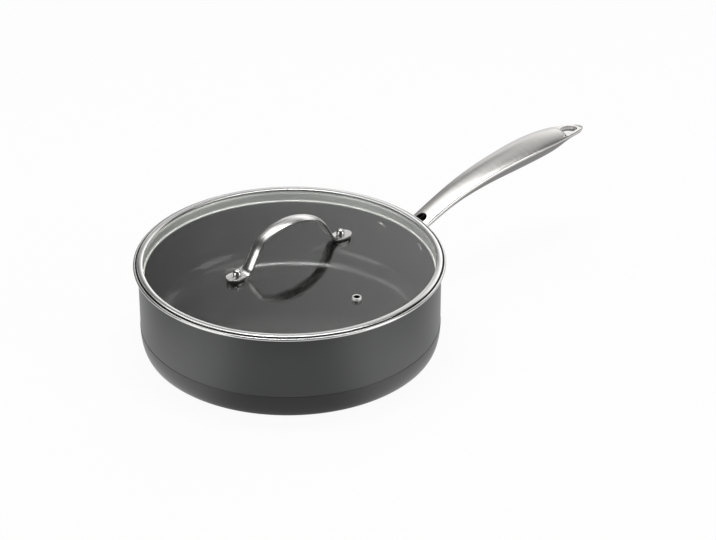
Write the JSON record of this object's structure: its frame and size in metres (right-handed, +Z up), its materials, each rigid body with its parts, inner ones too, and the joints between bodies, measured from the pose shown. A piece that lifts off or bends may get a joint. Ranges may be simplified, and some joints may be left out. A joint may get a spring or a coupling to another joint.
{
  "type": "saute pan with lid",
  "caption": "Deep straight-walled frying pan with one long hollow steel handle and a rimmed glass lid that has a strap handle and a steam vent.",
  "frame": {"origin": "centre of the pan's flat base, on the surface it stands on", "axes": "+X along the long handle, +Z up through the lid; the lid's vent is on the -Y side and its strap runs along X"},
  "size_m": [0.4767, 0.2662, 0.1169],
  "materials": {
    "anodised_body": "satin hard-anodised grey",
    "handle_steel": "brushed along the handle",
    "rivet_steel": "polished",
    "rim_steel": "polished round the rim",
    "strap_steel": "polished",
    "lid_glass": "clear tempered",
    "gasket_rubber": "matt"
  },
  "bodies": {
    "pan": {"pan_body": "anodised_body", "handle_bracket": "handle_steel", "handle_rivets": "rivet_steel", "handle_top_shell": "handle_steel", "handle_bottom_shell": "handle_steel"},
    "lid": {"lid_glass": "lid_glass", "lid_rim": "rim_steel", "lid_handle": "strap_steel", "lid_handle_rivets": "rivet_steel", "lid_upper_washers": "rivet_steel", "lid_upper_gaskets": "gasket_rubber", "lid_lower_gaskets": "gasket_rubber", "lid_lower_washers": "rivet_steel", "vent_eyelet": "rivet_steel", "vent_washer": "rivet_steel"}
  },
  "joints": [
    {"name": "lid_lift", "type": "slide", "parent": "pan", "child": "lid", "axis": [0, 0, 1], "range_m": [0, 0.12]}
  ]
}
